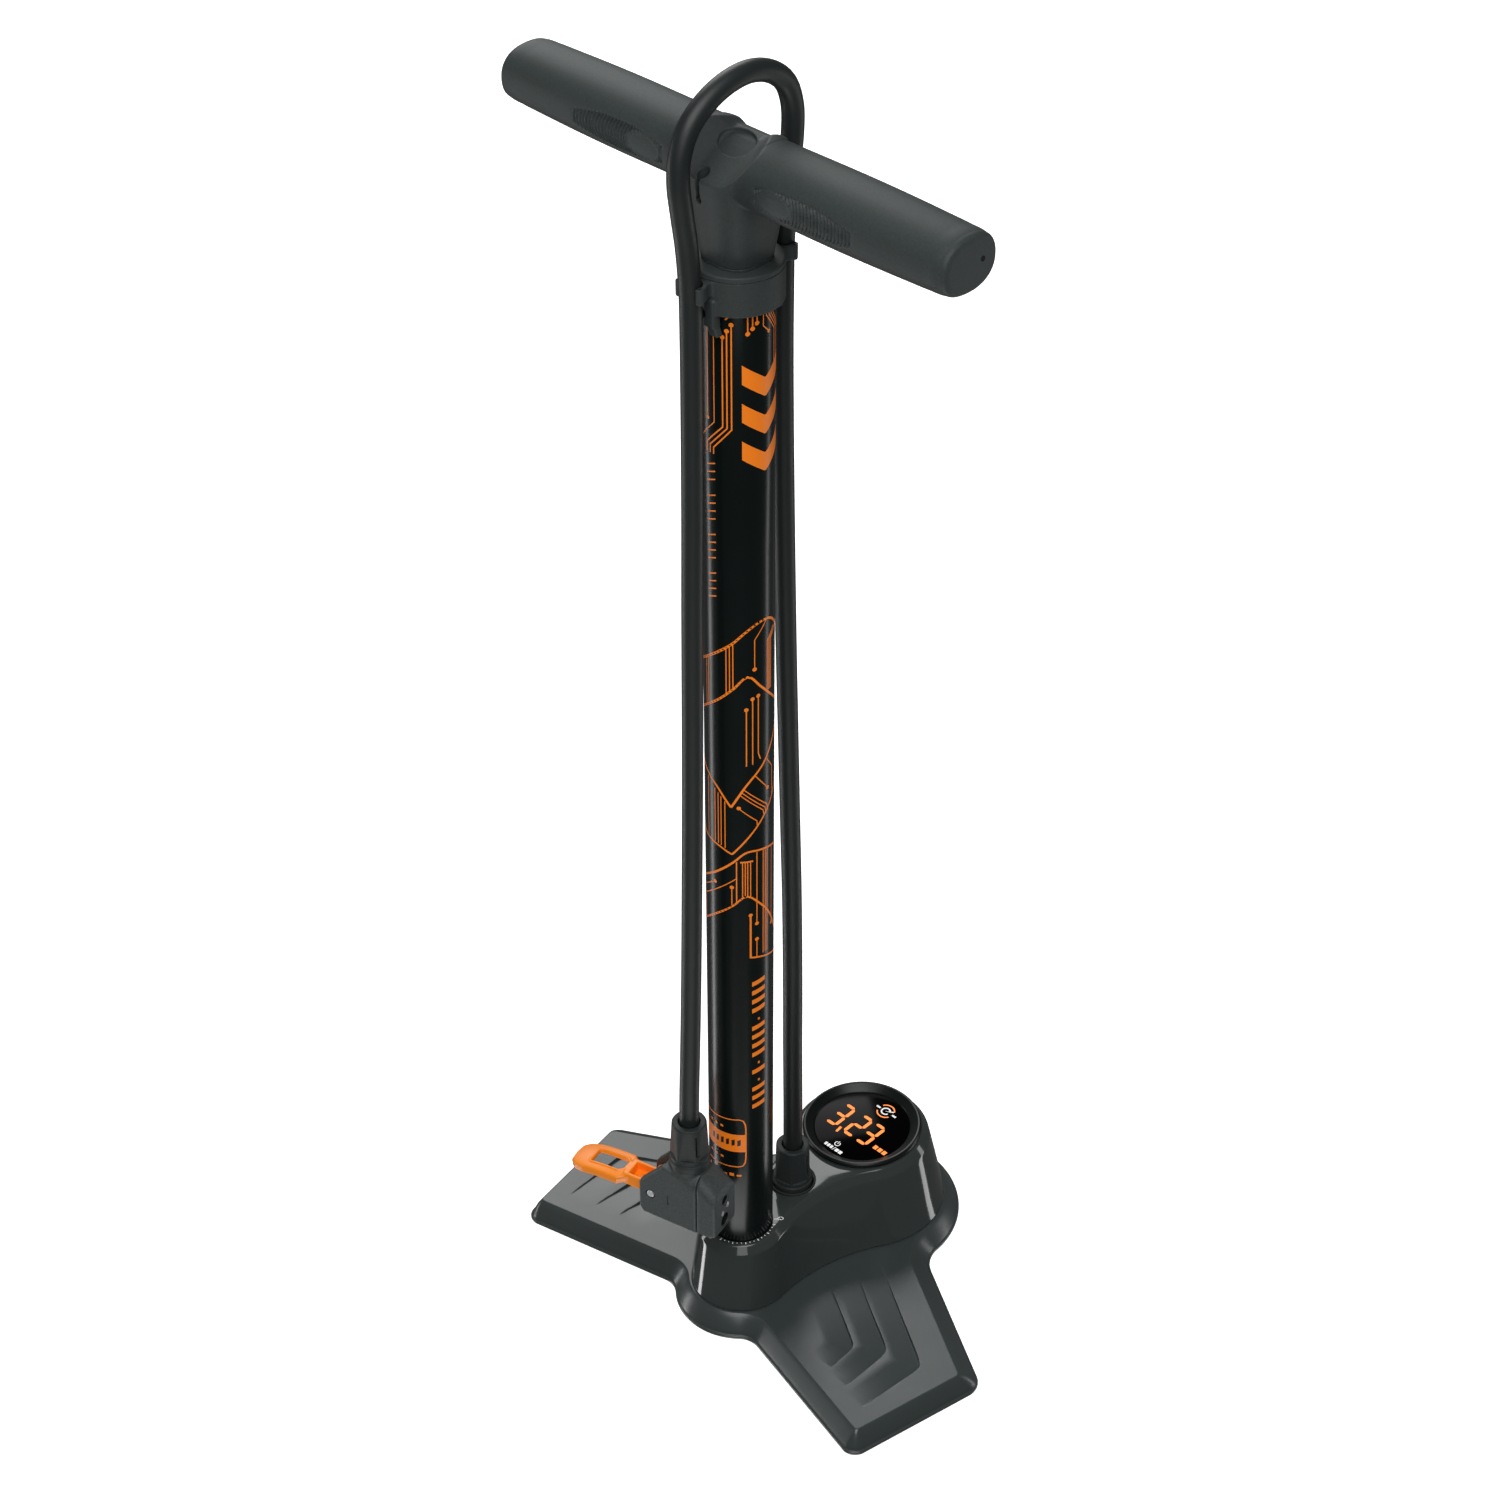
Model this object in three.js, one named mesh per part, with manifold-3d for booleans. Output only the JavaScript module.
// Floor bicycle pump with a digital gauge: T-handle, barrel, two-foot base and a hose that is stowed over the handle.
// Millimetres, +Z up. Origin: on the barrel axis, at the floor. +X runs along the handle, +Y from the barrel to the gauge.
import * as THREE from 'three';
import { mergeVertices } from 'three/addons/utils/BufferGeometryUtils.js';
import Module from 'manifold-3d';

const wasm = await Module();
wasm.setup();

// ---------------------------------------------------------------- driving dimensions
const GAP = 0.3;                       // running and assembly gap between pieces
const BARREL_R = 17.5, BARREL_BORE = 15.5, BARREL_Z0 = 23.6, BARREL_Z1 = 640;
const ROD_R = 5, STROKE_TOP = 618;     // underside of the guide bush
const HANDLE_Z = 706.3, HANDLE_HALF = 137.6;
const HOSE_R = 5.3;
const LOBE = [0, 98];                  // centre of the gauge lobe in plan
const PLATE_TOP = 13.5;                // plateau of the base plate
const TOP_TILT = 0.042;                // slope of the housing's top plane, rising towards the gauge
const zTop = y => 57 + TOP_TILT * (y + 20);
const HEAD_YAW = 14 * Math.PI / 180;   // the pump head hangs turned a little about the hose
const HEAD_AT = [0, -39];              // hose axis at the head, in plan
const BASE_NUT_AT = [0, 41];
const NUT_H = 30, NUT_R0 = 11.3, NUT_R1 = 9.4;

// ---------------------------------------------------------------- helpers
const group = new THREE.Group();

function signedVolume(g) {
  const p = g.attributes.position, ix = g.index;
  const n = ix ? ix.count : p.count;
  const a = new THREE.Vector3(), b = new THREE.Vector3(), c = new THREE.Vector3();
  let v = 0;
  for (let i = 0; i < n; i += 3) {
    const [i0, i1, i2] = ix ? [ix.getX(i), ix.getX(i + 1), ix.getX(i + 2)] : [i, i + 1, i + 2];
    a.fromBufferAttribute(p, i0); b.fromBufferAttribute(p, i1); c.fromBufferAttribute(p, i2);
    v += a.dot(b.clone().cross(c)) / 6;
  }
  return v;
}

// a closed three.js geometry becomes a solid that can be joined and cut
function solid(geometry) {
  let g = geometry.clone();
  for (const k of Object.keys(g.attributes)) if (k !== 'position') g.deleteAttribute(k);
  g = mergeVertices(g, 1e-4);
  let tri = Uint32Array.from(g.index.array);
  if (signedVolume(g) < 0) for (let i = 0; i < tri.length; i += 3) { const t = tri[i + 1]; tri[i + 1] = tri[i + 2]; tri[i + 2] = t; }
  return new wasm.Manifold(new wasm.Mesh({ numProp: 3, vertProperties: Float32Array.from(g.attributes.position.array), triVerts: tri }));
}

function geometryOf(m) {
  const mesh = m.getMesh();
  const g = new THREE.BufferGeometry();
  g.setAttribute('position', new THREE.BufferAttribute(new Float32Array(mesh.vertProperties), 3));
  g.setIndex(new THREE.BufferAttribute(new Uint32Array(mesh.triVerts), 1));
  g.computeVertexNormals();
  return g;
}

const S = (g, x = 0, y = 0, z = 0) => solid(g.translate(x, y, z));
const box = (x0, x1, y0, y1, z0, z1) => S(new THREE.BoxGeometry(x1 - x0, y1 - y0, z1 - z0), (x0 + x1) / 2, (y0 + y1) / 2, (z0 + z1) / 2);
const cyl = (r, z0, z1, x = 0, y = 0, n = 24, r1 = r) => S(new THREE.CylinderGeometry(r1, r, z1 - z0, n).rotateX(Math.PI / 2), x, y, (z0 + z1) / 2);
// a turned piece: profile of [radius, z]
function lathe(profile, n = 24) {
  const pts = profile.map(([r, z]) => new THREE.Vector2(r, z));
  if (!(profile[0][0] === 0 && profile[profile.length - 1][0] === 0)) pts.push(pts[0].clone());
  return new THREE.LatheGeometry(pts, n).rotateX(Math.PI / 2);
}
const turned = (profile, n = 24) => solid(lathe(profile, n));
const tube = (ro, ri, z0, z1, n = 24) => turned([[ri, z0], [ro, z0], [ro, z1], [ri, z1]], n);
function extrude(points, z0, z1) {
  const sh = new THREE.Shape(points.map(([x, y]) => new THREE.Vector2(x, y)));
  return S(new THREE.ExtrudeGeometry(sh, { depth: z1 - z0, bevelEnabled: false, curveSegments: 12 }), 0, 0, z0);
}
function roundRect(w, h, r, n = 2) {     // centred, half sizes w and h
  const out = [];
  for (const [cx, cy, a] of [[w - r, -h + r, -90], [w - r, h - r, 0], [-w + r, h - r, 90], [-w + r, -h + r, 180]])
    for (let i = 0; i <= n; i++) { const t = (a + 90 * i / n) * Math.PI / 180; out.push([cx + r * Math.cos(t), cy + r * Math.sin(t)]); }
  return out;
}
const shift = (pts, x, y) => pts.map(([a, b]) => [a + x, b + y]);

// skin through closed rings of equal count, capped at both ends
function loft(rings) {
  const n = rings[0].length, pos = [], idx = [];
  for (const r of rings) for (const p of r) pos.push(...p);
  for (let k = 0; k < rings.length - 1; k++) for (let i = 0; i < n; i++) {
    const a = k * n + i, b = k * n + (i + 1) % n, c = a + n, d = b + n;
    idx.push(a, b, d, a, d, c);
  }
  const cap = (k, flip) => {
    const ring = rings[k];
    // caps that stand upright are triangulated in their own plane
    const nx = Math.max(...ring.map(p => p[0])) - Math.min(...ring.map(p => p[0]));
    const flat = nx < 1e-3 ? ring.map(p => new THREE.Vector2(p[1], p[2])) : ring.map(p => new THREE.Vector2(p[0], p[1]));
    for (const [a, b, c] of THREE.ShapeUtils.triangulateShape(flat, []))
      flip ? idx.push(k * n + a, k * n + c, k * n + b) : idx.push(k * n + a, k * n + b, k * n + c);
  };
  cap(0, true); cap(rings.length - 1, false);
  const g = new THREE.BufferGeometry();
  g.setAttribute('position', new THREE.Float32BufferAttribute(pos, 3));
  g.setIndex(idx);
  return g;
}

const arc = (cx, cy, r, a0, a1, n) => Array.from({ length: n + 1 }, (_, i) => { const t = a0 + (a1 - a0) * i / n; return [cx + r * Math.cos(t), cy + r * Math.sin(t)]; });
const mirrorClosed = half => half.concat(half.slice(1, -1).reverse().map(([x, y]) => [-x, y]));

// the base plate's plan: a nose round the barrel, two feet and a lobe under the gauge, each edge drawn in by its own inset
const N1 = [-0.240, -0.971], NE = [0.983, -0.186], NB = [0.504, 0.863];
function meet(n, a, m, b) { const d = n[0] * m[1] - n[1] * m[0]; return [(a * m[1] - b * n[1]) / d, (n[0] * b - m[0] * a) / d]; }
function plateOutline(i) {
  const { nose, front, end, back, lobe } = typeof i === 'number' ? { nose: i, front: i, end: i, back: i, lobe: i } : i;
  const R1 = 37.5 - nose, R2 = 58 - lobe, o1 = 15.2 - front, oe = 136.8 - end, ob = 108.1 - back;
  const p1 = 12 + (nose + front) / 2, p2 = 20 + (back + lobe) / 2;
  const rc1 = Math.max(8 - (front + end) / 2, 2), rc2 = Math.max(12 - (end + back) / 2, 3);
  const k1 = o1 + p1, w1 = Math.sqrt((R1 + p1) ** 2 - k1 * k1), c1 = [N1[0] * k1 - N1[1] * w1, N1[1] * k1 + N1[0] * w1];
  const k2 = ob + p2 - NB[1] * LOBE[1], w2 = Math.sqrt((R2 + p2) ** 2 - k2 * k2), c2 = [NB[0] * k2 + NB[1] * w2, LOBE[1] + NB[1] * k2 - NB[0] * w2];
  const ang = (x, y) => Math.atan2(y, x), D = Math.PI / 180;
  const K1 = meet(N1, o1 - rc1, NE, oe - rc1), K2 = meet(NE, oe - rc2, NB, ob - rc2);
  const a1 = ang(...c1), a2 = ang(c2[0], c2[1] - LOBE[1]);
  return mirrorClosed([
    ...arc(0, 0, R1, -90 * D, a1, 4).slice(0, -1),
    ...arc(...c1, p1, a1 + Math.PI, ang(-N1[0], -N1[1]), 4),
    ...arc(...K1, rc1, ang(...N1), ang(...NE), 3),
    ...arc(...K2, rc2, ang(...NE), ang(...NB), 3),
    ...arc(...c2, p2, ang(-NB[0], -NB[1]) + 2 * Math.PI, a2 + Math.PI, 4).slice(0, -1),
    ...arc(...LOBE, R2, a2, 90 * D, 8),
  ]);
}
// the housing's plan: nose circle, drawn-in neck, gauge circle
function housingOutline(R1, R2, p) {
  const L = LOBE[1], y = ((R1 + p) ** 2 - (R2 + p) ** 2 + L * L) / (2 * L), x = Math.sqrt((R1 + p) ** 2 - y * y);
  const a1 = Math.atan2(y, x), a2 = Math.atan2(y - L, x);
  return mirrorClosed([
    ...arc(0, 0, R1, -Math.PI / 2, a1, 6).slice(0, -1),
    ...arc(x, y, p, a1 + Math.PI, a2 + Math.PI, 5).slice(0, -1),
    ...arc(...LOBE, R2, a2, Math.PI / 2, 9),
  ]);
}
const at = (pts, z) => pts.map(([x, y]) => [x, y, typeof z === 'function' ? z(x, y) : z]);

const M = {
  plate: { color: 0x5d6363, roughness: 0.45, metalness: 0.0 },
  housing: { color: 0x2c3131, roughness: 0.12, metalness: 0.0 },
  soft: { color: 0x454b4b, roughness: 0.7, metalness: 0.0 },
  black: { color: 0x101615, roughness: 0.35, metalness: 0.2 },
  rubber: { color: 0x1c1f1f, roughness: 0.85, metalness: 0.0 },
  hose: { color: 0x333a3a, roughness: 0.6, metalness: 0.0 },
  orange: { color: 0xff8a1c, roughness: 0.4, metalness: 0.0 },
  steel: { color: 0xc8ccce, roughness: 0.25, metalness: 1.0 },
  alu: { color: 0xb8bcbe, roughness: 0.35, metalness: 1.0 },
  brass: { color: 0xb8964a, roughness: 0.35, metalness: 1.0 },
  white: { color: 0xe4e4de, roughness: 0.5, metalness: 0.0 },
  display: { color: 0x050606, roughness: 0.1, metalness: 0.0 },
  glass: { color: 0x0c1010, roughness: 0.05, metalness: 0.0 },
  board: { color: 0x14542c, roughness: 0.5, metalness: 0.0 },
  cell: { color: 0x2f6f8f, roughness: 0.4, metalness: 0.3 },
};
function add(name, shape, mat, parent = group) {
  const mesh = new THREE.Mesh(shape.isBufferGeometry ? shape : geometryOf(shape), new THREE.MeshStandardMaterial(M[mat]));
  mesh.name = name;
  parent.add(mesh);
  return mesh;
}

// ---------------------------------------------------------------- base plate: an open-bottomed moulded shell on rubber pads
const SHOULDER = { nose: 6.2, front: 5.6, end: 4.7, back: 10.4, lobe: 6.6 };
const PLATEAU = { nose: 7.2, front: 6.8, end: 5.8, back: 11.8, lobe: 7.8 };
const plus = (o, d) => Object.fromEntries(Object.entries(o).map(([k, v]) => [k, v + d]));
const PADS = {                                     // rubber pads: [x, y, half width, half depth]
  foot_pad_right_front: [112, -24, 13, 9], foot_pad_right_back: [120, 24, 13, 9],
  foot_pad_left_front: [-112, -24, 13, 9], foot_pad_left_back: [-120, 24, 13, 9],
  foot_pad_rear: [0, 140, 16, 6],
};
let plate = solid(loft([at(plateOutline(0), 0.8), at(plateOutline(0), 2.8), at(plateOutline(1.2), 3.4), at(SHOULDER_RING(), PLATE_TOP - 1.8), at(plateOutline(PLATEAU), PLATE_TOP)]));
function SHOULDER_RING() { return plateOutline(SHOULDER); }
plate = plate.subtract(solid(loft([at(plateOutline(2.6), -1), at(plateOutline(2.9), 2.8), at(plateOutline(plus(PLATEAU, 2.6)), PLATE_TOP - 2.6)])));
// bosses and ribs under the plateau
let ribs = cyl(21, 3.4, PLATE_TOP - 1, 0, 0, 28);
for (const [x, y, w, h] of Object.values(PADS)) ribs = ribs.add(extrude(shift(roundRect(w, h, 4), x, y), 3.4, PLATE_TOP - 1));
for (const s of [1, -1]) {
  ribs = ribs.add(box(Math.min(s * 20, s * 128), Math.max(s * 20, s * 128), -1.1, 1.1, 4.5, PLATE_TOP - 1));
  ribs = ribs.add(box(Math.min(s * 20, s * 104), Math.max(s * 20, s * 104), 33.9, 36.1, 4.5, PLATE_TOP - 1));
  ribs = ribs.add(box(s * 58 - 1.1, s * 58 + 1.1, -24, 62, 4.5, PLATE_TOP - 1));
}
const SCREWS = [[22, 58], [-22, 58], [33, 118], [-33, 118]];
for (const [x, y] of SCREWS) ribs = ribs.add(cyl(5.2, 3.4, PLATE_TOP - 1, x, y, 12));
const doorFrame = extrude(shift(roundRect(31, 17, 3), 0, 92), 3.2, PLATE_TOP - 1);
ribs = ribs.add(doorFrame);
plate = plate.add(ribs);
plate = plate.subtract(extrude(shift(roundRect(28, 14, 2), 0, 92), -1, 30));         // battery well
plate = plate.subtract(box(-29.6, 29.6, 76.4, 107.6, -1, 5.2));                       // rebate for the door
for (const [x, y] of SCREWS) plate = plate.subtract(cyl(1.9, -1, 30, x, y, 8)).subtract(cyl(3.7, -1, 6.2, x, y, 12));
plate = plate.subtract(cyl(3.3, -1, 30, 0, 0, 20)).subtract(cyl(7.2, -1, 8.2, 0, 0, 24));   // barrel bolt
add('base_plate', plate, 'plate');

add('foot_pad_centre', turned([[0, 0], [16, 0], [16, 3.1], [0, 3.1]], 28), 'rubber');
for (const [name, [x, y, w, h]] of Object.entries(PADS)) add(name, extrude(shift(roundRect(w - 1, h - 1, 3.5), x, y), 0, 3.1), 'rubber');

// ---------------------------------------------------------------- housing: glossy shell over the air channel and the gauge
let housing = solid(loft([
  at(housingOutline(28.5, 48.8, 110), PLATE_TOP + 0.4),
  at(housingOutline(24.0, 38.9, 80), (x, y) => zTop(y) - 4.4),
  at(housingOutline(20.4, 35.0, 84), (x, y) => zTop(y)),
]));
housing = housing.subtract(solid(loft([
  at(housingOutline(26.0, 46.3, 112), PLATE_TOP - 2),
  at(housingOutline(22.0, 36.4, 82), (x, y) => zTop(y) - 6.4),
  at(housingOutline(21.5, 34.0, 86), (x, y) => zTop(y) - 3),
])));
housing = housing.add(cyl(20.4, PLATE_TOP + 0.4, 56.4, 0, 0, 28));
housing = housing.add(cyl(13.6, 50, 58.2, ...BASE_NUT_AT, 24));
for (const [x, y] of SCREWS) housing = housing.add(cyl(4.2, PLATE_TOP + 0.4, 54.6, x * 0.93, y, 10));
housing = housing.subtract(cyl(BARREL_R + GAP, -1, 80, 0, 0, 32));
housing = housing.subtract(cyl(NUT_R0 + GAP, 40, 80, ...BASE_NUT_AT, 24));
for (const [x, y] of SCREWS) housing = housing.subtract(cyl(1.9, -1, 28, x, y, 8));
const tiltGauge = g => g.rotateX(Math.atan(TOP_TILT)).translate(0, 98.5, zTop(98.5));
housing = housing.subtract(solid(tiltGauge(new THREE.CylinderGeometry(31.3, 31.3, 30, 36).rotateX(Math.PI / 2))));
add('base_housing', housing, 'housing');

for (let i = 0; i < 4; i++) {
  const [x, y] = SCREWS[i];
  add('base_screw_' + (i + 1), turned([[0, 2.4], [3.2, 2.4], [3.2, 5.8], [1.5, 5.8], [1.5, 26], [0, 26]], 12).translate([x, y, 0]), 'steel');
}

// ---------------------------------------------------------------- gauge
const gaugeLathe = (profile, n = 36) => solid(tiltGauge(lathe(profile, n)));
add('gauge_bezel', gaugeLathe([[28.7, -9], [31, -9], [31, 0.3], [34, 0.3], [34, 2.6], [32.6, 3.6], [28.7, 1.4]]), 'rubber');
add('gauge_lens', gaugeLathe([[0, -0.7], [28.4, -0.7], [28.4, 0.9], [0, 0.9]]), 'glass');
add('gauge_display', solid(tiltGauge(new THREE.ExtrudeGeometry(new THREE.Shape(roundRect(22, 15, 2).map(p => new THREE.Vector2(...p))), { depth: 2.4, bevelEnabled: false }).translate(0, 0, -3.4))), 'display');
add('gauge_board', gaugeLathe([[0, -5.6], [28.2, -5.6], [28.2, -3.9], [0, -3.9]], 24), 'board');
add('pressure_sensor', S(new THREE.CylinderGeometry(4.2, 4.2, 6, 16).rotateX(Math.PI / 2), -12, 92, 51.4), 'alu');

// ---------------------------------------------------------------- power: two cells in the well, door on the underside
for (const [i, y] of [[1, 85.7], [2, 98.3]])
  add('battery_' + i, solid(new THREE.LatheGeometry([[0, -22.2], [5.2, -22.2], [5.2, 21.2], [1.8, 21.2], [1.8, 22.3], [0, 22.3]].map(p => new THREE.Vector2(...p)), 16).rotateZ(i === 1 ? Math.PI / 2 : -Math.PI / 2).translate(0, y, 11.4)), 'cell');
let door = extrude(shift(roundRect(29.2, 15.2, 2), 0, 92), 2.6, 4.9);
door = door.subtract(cyl(1.7, 0, 10, 0, 92, 16)).subtract(cyl(3.4, 0, 3.6, 0, 92, 16));
add('battery_door', door, 'plate');
add('battery_door_screw', turned([[0, 2.0], [3.0, 2.0], [3.0, 3.3], [1.4, 3.3], [1.4, 5.3], [0, 5.3]], 12).translate([0, 92, 0]), 'steel');

// ---------------------------------------------------------------- barrel, its foot and the air path
add('barrel', tube(BARREL_R, BARREL_BORE, BARREL_Z0, BARREL_Z1, 32), 'black');
add('barrel_foot_plug', turned([[3.3, PLATE_TOP + 0.4], [17.4, PLATE_TOP + 0.4], [17.4, 22], [15.2, 22], [15.2, 34], [3.3, 34]], 28).subtract(S(new THREE.CylinderGeometry(1.6, 1.6, 16, 12), 0, 10, 29)), 'alu');
add('foot_gasket', tube(17.3, 15.5, 22.3, 23.3, 24), 'rubber');
add('barrel_bolt', turned([[0, 3.5], [6.4, 3.5], [6.4, 7.9], [3.0, 7.9], [3.0, 32], [0, 32]], 24), 'steel');
add('air_duct', solid(new THREE.ExtrudeGeometry(new THREE.Shape(roundRect(3, 3, 1.8, 1).map(p => new THREE.Vector2(...p))), { steps: 8, bevelEnabled: false, extrudePath: new THREE.CatmullRomCurve3([[0, 21.2, 28], [0, 27, 28], [0, 36, 28], [0, 40.4, 29.4], [0, 41, 33.6]].map(p => new THREE.Vector3(...p))) })), 'white');
add('hose_socket', turned([[1.8, 34], [6, 34], [6, 40], [9.5, 40], [9.5, 48], [6, 48], [6, 56.6], [3.2, 56.6], [3.2, 41], [1.8, 41]], 20).translate([...BASE_NUT_AT, 0]), 'brass');
add('check_valve_poppet', turned([[0, 41.4], [2.8, 41.4], [2.8, 44.4], [1.2, 44.4], [1.2, 47.5], [0, 47.5]], 16).translate([...BASE_NUT_AT, 0]), 'rubber');
{
  const turns = 3, pts = [];
  for (let i = 0; i <= turns * 9; i++) { const t = i / 9 * 2 * Math.PI; pts.push(new THREE.Vector3(2.1 * Math.cos(t), BASE_NUT_AT[1] + 2.1 * Math.sin(t), 45.1 + 8.6 * i / (turns * 9))); }
  add('check_valve_spring', solid(new THREE.ExtrudeGeometry(new THREE.Shape(arc(0, 0, 0.32, 0, 1.6 * Math.PI, 4).map(p => new THREE.Vector2(...p))), { steps: turns * 9, bevelEnabled: false, extrudePath: new THREE.CatmullRomCurve3(pts) })), 'steel');
}

// ---------------------------------------------------------------- hose nuts: tapered, with flats and slots
function hoseNut(z0) {
  let n = turned([[HOSE_R + GAP, 0], [NUT_R0, 0], [NUT_R0, 5], [NUT_R0 - 0.5, 6], [NUT_R1, NUT_H - 0.8], [NUT_R1 - 0.8, NUT_H], [HOSE_R + GAP, NUT_H]], 24);
  for (let k = 0; k < 6; k++) {
    const cut = S(new THREE.BoxGeometry(8, 4, NUT_H - 7), 0, 0, 0).translate([0, 0, 0]);
    n = n.subtract(cut.translate([0, -(NUT_R1 + 1.1), 7 + (NUT_H - 7) / 2 + 0.5]).rotate([0, 0, 60 * k]));
  }
  return n.translate([0, 0, z0]);
}
add('base_hose_nut', hoseNut(57.4).translate([...BASE_NUT_AT, 0]), 'soft');

// ---------------------------------------------------------------- collar at the barrel's top, with two hose clips
let collar = turned([[BARREL_R + GAP, 639], [21.6, 639], [22, 640], [22, 658.2], [21.2, 659], [ROD_R + 0.6, 659], [ROD_R + 0.6, 653.5], [BARREL_R + GAP, 653.5]], 28);
for (const s of [1, -1]) {
  const yc = 29.6;                     // the hose leg's axis at the clip
  let clip = cyl(8.3, 644, 654, 0, s * yc, 20).add(box(-5.5, 5.5, Math.min(s * 19.6, s * 26), Math.max(s * 19.6, s * 26), 644, 654));
  clip = clip.add(box(-6.5, 6.5, Math.min(s * 18.4, s * 21.2), Math.max(s * 18.4, s * 21.2), 631, 645));
  clip = clip.subtract(cyl(HOSE_R + 0.5, 600, 700, 0, s * yc, 16));
  clip = clip.subtract(box(-4.4, 4.4, Math.min(s * yc, s * 45), Math.max(s * yc, s * 45), 600, 700));
  collar = collar.add(clip);
}
collar = collar.subtract(cyl(BARREL_R + GAP, 600, 653.5, 0, 0, 28));
add('barrel_collar', collar, 'soft');
add('rod_bush', turned([[ROD_R + GAP, STROKE_TOP], [15.2, STROKE_TOP], [15.2, 640.3], [17.4, 640.3], [17.4, 643], [ROD_R + GAP, 643]], 24), 'white');

// ---------------------------------------------------------------- piston and rod
add('piston_rod', tube(ROD_R, 3.6, 38.5, 694, 20), 'alu');
add('piston', turned([[ROD_R + GAP, 45], [15.0, 45], [15.0, 51], [13.0, 51], [13.0, 55], [15.0, 55], [15.0, 60], [ROD_R + GAP, 60]], 24), 'white');
add('piston_ring', tube(15.2, 13.3, 51.3, 54.7, 24), 'rubber');
add('piston_cup', turned([[ROD_R + GAP, 60.3], [14.6, 60.3], [15.2, 61.6], [15.2, 67], [13.6, 67], [12.8, 62.8], [ROD_R + GAP, 62.8]], 24), 'rubber');
add('piston_washer', tube(11.4, ROD_R + GAP, 63.1, 64.7, 20), 'steel');
add('piston_nut', turned([[0, 39.3], [9.2, 39.3], [9.2, 44.7], [0, 44.7]], 6).subtract(cyl(ROD_R + GAP, 30, 50, 0, 0, 24)), 'steel');
add('top_out_bumper', turned([[ROD_R + GAP, 65], [9.4, 65], [10.4, 71], [9.4, 77], [ROD_R + GAP, 77]], 20), 'rubber');

// ---------------------------------------------------------------- handle
// oval section across X: half width b along Y, half height c along Z
function oval(x, b, c, n = 20, p = 2.3, zc = HANDLE_Z) {
  return Array.from({ length: n }, (_, i) => {
    const t = 2 * Math.PI * i / n, co = Math.cos(t), si = Math.sin(t);
    return [x, b * Math.sign(co) * Math.abs(co) ** (2 / p), zc + c * Math.sign(si) * Math.abs(si) ** (2 / p)];
  });
}
function squircle(h, r, z, n = 24) {      // sleeve section: half width h
  return Array.from({ length: n }, (_, i) => {
    const t = 2 * Math.PI * i / n, co = Math.cos(t), si = Math.sin(t);
    return [h * Math.sign(co) * Math.abs(co) ** (2 / r), h * Math.sign(si) * Math.abs(si) ** (2 / r), z];
  });
}
let hub = solid(loft([oval(-29.5, 16.6, 13.6), oval(-14, 18.4, 15.0), oval(0, 18.8, 15.2), oval(14, 18.4, 15.0), oval(29.5, 16.6, 13.6)]));
hub = hub.add(solid(loft([squircle(14.6, 2.9, 659.4), squircle(15.8, 2.9, 676), squircle(17.2, 2.9, 692), squircle(17.8, 2.9, 704)])));
hub = hub.subtract(solid(loft([squircle(11.6, 2.9, 650), squircle(12.4, 2.9, 672), squircle(10, 2.6, 684)])));   // hollow skirt
hub = hub.subtract(S(new THREE.CylinderGeometry(9.3, 9.3, 80, 20).rotateZ(Math.PI / 2), 0, 0, HANDLE_Z));                  // cross bar bore
hub = hub.subtract(cyl(ROD_R + GAP, 640, 706, 0, 0, 24));
hub = hub.subtract(cyl(11.5, 720.6, 730, 3, 3, 32));                                                                    // thumb dish on top
hub = hub.subtract(cyl(3.0, 702, 730, -6.0, -14.6, 16)).subtract(box(-7.4, -5.4, -30, -14.4, 690, 730));           // keyhole for a ball needle
add('handle_hub', hub, 'soft');
add('handle_core', solid(new THREE.LatheGeometry([[7.4, -124], [9, -124], [9, 124], [7.4, 124], [7.4, -124]].map(p => new THREE.Vector2(...p)), 20).rotateZ(Math.PI / 2).translate(0, 0, HANDLE_Z)).subtract(cyl(ROD_R + GAP, 690, 699.6, 0, 0, 16)), 'alu');
for (const [name, s] of [['grip_right', 1], ['grip_left', -1]]) {
  const secs = [[29.9, 16.7, 13.7], [36, 17.8, 14.5], [75, 19.0, 15.2], [112, 18.2, 14.6], [134, 17.4, 13.8], [HANDLE_HALF, 15.6, 12.0]];
  let g = solid(loft(secs.map(([x, b, c]) => oval(s * x, b, c))));
  g = g.subtract(S(new THREE.CylinderGeometry(9.3, 9.3, 110, 20).rotateZ(Math.PI / 2), s * (124.4 - 55), 0, HANDLE_Z));
  g = g.subtract(S(new THREE.CylinderGeometry(1.2, 1.2, 30, 12).rotateZ(Math.PI / 2), s * 130, 7, HANDLE_Z + 1));
  add(name, g, 'soft');
}
add('handle_screw', turned([[0, 672], [3.2, 672], [3.2, 694.3], [0, 694.3]], 16).translate([0, 0, 0]), 'steel');

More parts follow.
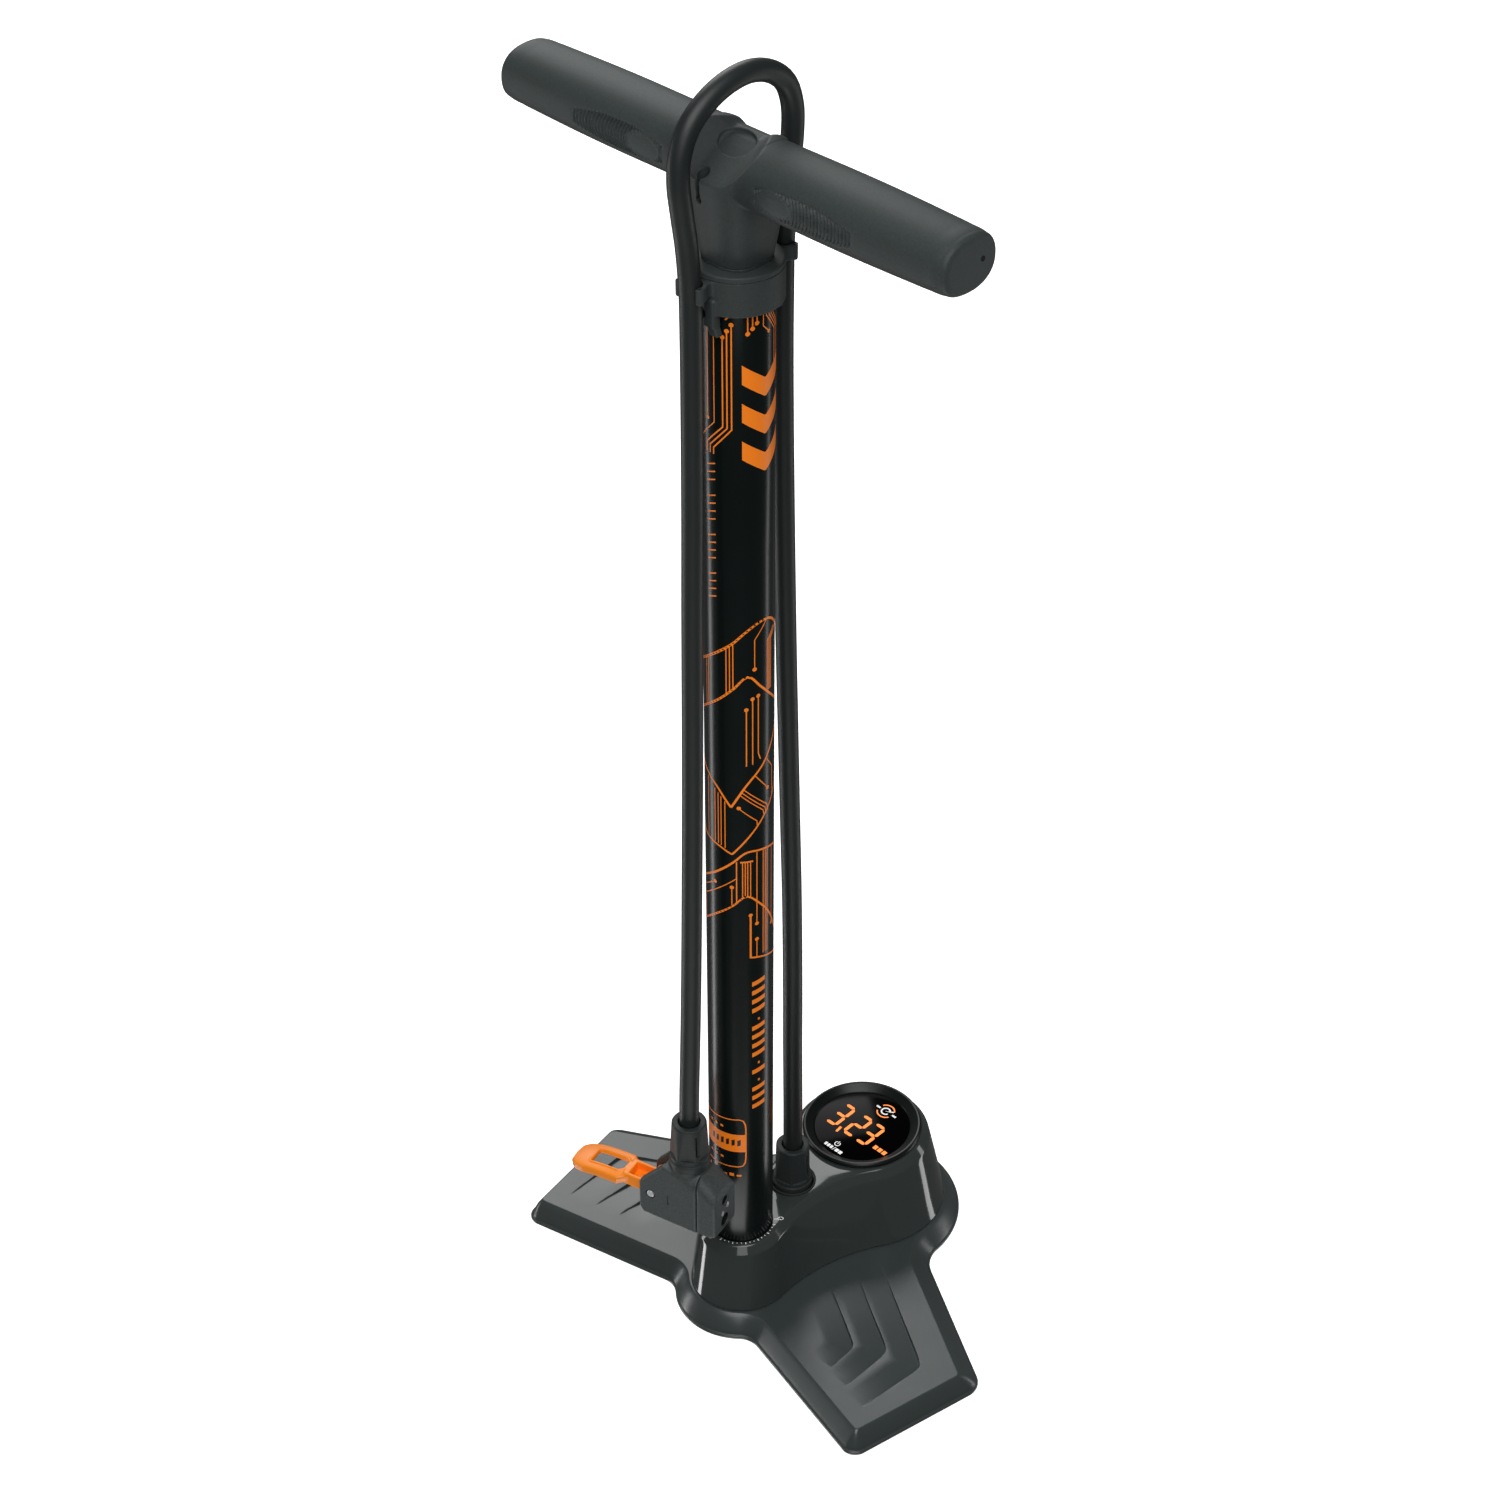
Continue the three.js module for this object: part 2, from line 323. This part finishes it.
// ---------------------------------------------------------------- hose, from the base nut over the handle to the head nut
export const HOSE_POINTS = [
  [0, 41, 57.2], [0, 41, 75], [0, 41, 95], [0, 40.9, 115], [0, 40.6, 136], [0, 40.2, 165], [0, 40.0, 195], [0, 38.9, 260],
  [0, 36.6, 329], [0, 35.0, 377], [0, 33.4, 425], [0, 31.6, 490], [0, 30.0, 560], [0, 29.4, 605], [0, 29.5, 632], [0, 29.7, 654],
  [0, 31.0, 674], [0, 33.2, 692], [0, 35.2, 708], [0, 34.6, 722.5], [0, 30.0, 735], [0, 20.6, 744.6], [0, 8.0, 749.4],
  [0, -6.0, 748.6], [0, -19.0, 743.2], [0, -29.0, 733.6], [0, -34.8, 721.5], [0, -36.0, 708], [0, -34.0, 692], [0, -31.6, 676],
  [0, -29.8, 654], [0, -29.5, 632], [0, -29.6, 600], [0, -30.2, 540], [0, -31.3, 480], [0, -32.7, 385], [0, -34.5, 304], [0, -36.3, 238],
  [0, -37.5, 204], [0, -38.7, 172], [0, -39, 150], [0, -39, 139.6],
];
{
  const curve = new THREE.CatmullRomCurve3(HOSE_POINTS.map(p => new THREE.Vector3(...p)), false, 'centripetal');
  const section = new THREE.Shape(arc(0, 0, HOSE_R, 0, 2 * Math.PI * 7 / 8, 7).map(p => new THREE.Vector2(...p)));
  add('hose', solid(new THREE.ExtrudeGeometry(section, { steps: 56, bevelEnabled: false, extrudePath: curve })), 'hose');
}

// ---------------------------------------------------------------- pump head, built along X and then turned about the hose axis
const head = new THREE.Group();
head.position.set(HEAD_AT[0], HEAD_AT[1], 0);
head.rotation.z = HEAD_YAW;
group.add(head);
const HEAD_W = 11.2, HZ0 = 88.4, HZ1 = 127.6, PIN_X = -18.8, PIN_Z = 104, UPPER_Z = 110.5, LOWER_Z = 96.2;
// upright section of the head across its own axis, rounded at the top
function headSection(x, w, z0, z1, r0, r1, n = 3) {
  const out = [];
  for (const [cx, cz, r, a] of [[w - r0, z0 + r0, r0, -90], [w - r1, z1 - r1, r1, 0], [-w + r1, z1 - r1, r1, 90], [-w + r0, z0 + r0, r0, 180]])
    for (let i = 0; i <= n; i++) { const t = (a + 90 * i / n) * Math.PI / 180; out.push([x, cx + r * Math.cos(t), cz + r * Math.sin(t)]); }
  return out;
}
let headBody = solid(loft([headSection(-26, HEAD_W - 0.8, HZ0 + 3, 110.5, 2, 2), headSection(-24.6, HEAD_W, HZ0 + 0.8, 112.5, 2, 2), headSection(-12.5, HEAD_W, HZ0, HZ1 - 0.8, 2.4, 3), headSection(-10, HEAD_W, HZ0, HZ1, 2.4, 3.6), headSection(9.8, HEAD_W, HZ0, HZ1 - 1.2, 2.4, 8)]));
headBody = headBody.subtract(box(-40, -11.9, -7.2, 7.2, 92.8, 140));                       // lever slot between two cheeks
headBody = headBody.subtract(box(-12.4, 9.0, -6.2, 6.2, 91.8, 114.6));                     // plunger bore
headBody = headBody.subtract(S(new THREE.CylinderGeometry(7.4, 7.4, 9, 16).rotateZ(Math.PI / 2), 7, 0, UPPER_Z)).subtract(S(new THREE.CylinderGeometry(7.4, 7.4, 9, 16).rotateZ(Math.PI / 2), 7, 0, LOWER_Z)).subtract(box(2.5, 11, -7.4, 7.4, LOWER_Z, UPPER_Z));
headBody = headBody.subtract(cyl(3.3, 112, 140, 0, 0, 20));                                // air way up to the hose
headBody = headBody.subtract(S(new THREE.CylinderGeometry(2.3, 2.3, 40, 16), PIN_X, 0, PIN_Z));
add('head_body', headBody, 'soft', head);
let nose = solid(loft([headSection(10.1, HEAD_W, HZ0, HZ1 - 1.4, 3, 8), headSection(16, HEAD_W, HZ0, HZ1 - 3.6, 4, 9), headSection(20.4, HEAD_W - 0.6, HZ0 + 0.6, HZ1 - 6.6, 6, 9.4), headSection(22, HEAD_W - 2.2, HZ0 + 2.4, HZ1 - 9, 7, 8.6)]));
nose = nose.subtract(S(new THREE.CylinderGeometry(7.4, 7.4, 10, 16).rotateZ(Math.PI / 2), 14.2, 0, UPPER_Z)).subtract(S(new THREE.CylinderGeometry(7.4, 7.4, 10, 16).rotateZ(Math.PI / 2), 14.2, 0, LOWER_Z)).subtract(box(8, 19.2, -7.4, 7.4, LOWER_Z, UPPER_Z));
nose = nose.subtract(S(new THREE.CylinderGeometry(3.0, 3.0, 20, 16).rotateZ(Math.PI / 2), 20, 0, UPPER_Z)).subtract(S(new THREE.CylinderGeometry(4.0, 4.0, 20, 20).rotateZ(Math.PI / 2), 20, 0, LOWER_Z));
add('head_nose', nose, 'soft', head);
// rubber seals that grip the valve, and the plunger that squeezes them
const ringX = (ro, ri, x0, x1, z, n = 16) => solid(new THREE.LatheGeometry([[ri, x0], [ro, x0], [ro, x1], [ri, x1], [ri, x0]].map(p => new THREE.Vector2(...p)), n).rotateZ(-Math.PI / 2).translate(0, 0, z));
add('valve_seal_small', ringX(6.8, 3.0, 8.4, 18.9, UPPER_Z), 'rubber', head);
add('valve_seal_large', ringX(6.8, 4.0, 8.4, 18.9, LOWER_Z), 'rubber', head);
add('head_plunger', box(-12.3, 4.6, -5.8, 5.8, 92.2, 114.2).subtract(cyl(3.3, 108, 120, 1.5, 0, 16)), 'white', head);
add('head_lever_pin', S(new THREE.CylinderGeometry(2.0, 2.0, 22, 16), PIN_X, 0, PIN_Z), 'steel', head);
// lever: cam eye on the pin, deep neck, then a windowed thumb plate
let lever = S(new THREE.CylinderGeometry(6.0, 6.0, 11.2, 20), PIN_X, 0, PIN_Z + 2.6).add(S(new THREE.CylinderGeometry(5.0, 5.0, 13.2, 20), PIN_X, 0, PIN_Z));
lever = lever.add(box(-39, PIN_X, -6.6, 6.6, 98.6, 106.2)).subtract(box(-38, -25.4, -4.6, 4.6, 100.6, 110));
{
  const outline = [[-37, -6.6], [-37, 6.6], [-40.5, 10.4], [-64, 10.4], [-68.6, 9.0], [-71.4, 5.6], [-72, 0], [-71.4, -5.6], [-68.6, -9.0], [-64, -10.4], [-40.5, -10.4]];
  const win = [[-41, -2.8], [-42.6, -4.3], [-60, -4.3], [-60, 4.3], [-42.6, 4.3], [-41, 2.8]];
  const sh = new THREE.Shape(outline.map(p => new THREE.Vector2(...p)));
  sh.holes.push(new THREE.Path(win.map(p => new THREE.Vector2(...p))));
  const p = new THREE.ExtrudeGeometry(sh, { depth: 3.2, bevelEnabled: false }).translate(0, 0, 102.6);
  const q = p.attributes.position;                       // the plate bows gently down towards its tip
  for (let i = 0; i < q.count; i++) q.setZ(i, q.getZ(i) - 0.0042 * Math.max(0, -40 - q.getX(i)) ** 2);
  lever = lever.add(solid(p));
}
lever = lever.subtract(S(new THREE.CylinderGeometry(2.3, 2.3, 40, 16), PIN_X, 0, PIN_Z));
add('head_lever', lever, 'orange', head);
add('head_hose_nut', hoseNut(HZ1 + 0.4), 'soft', head);
add('head_hose_barb', turned([[1.6, 116], [2.9, 116], [2.9, 131], [3.9, 131.4], [3.9, 134.6], [2.9, 135], [2.9, 139.2], [1.6, 139.2]], 16), 'brass', head);

export default group;
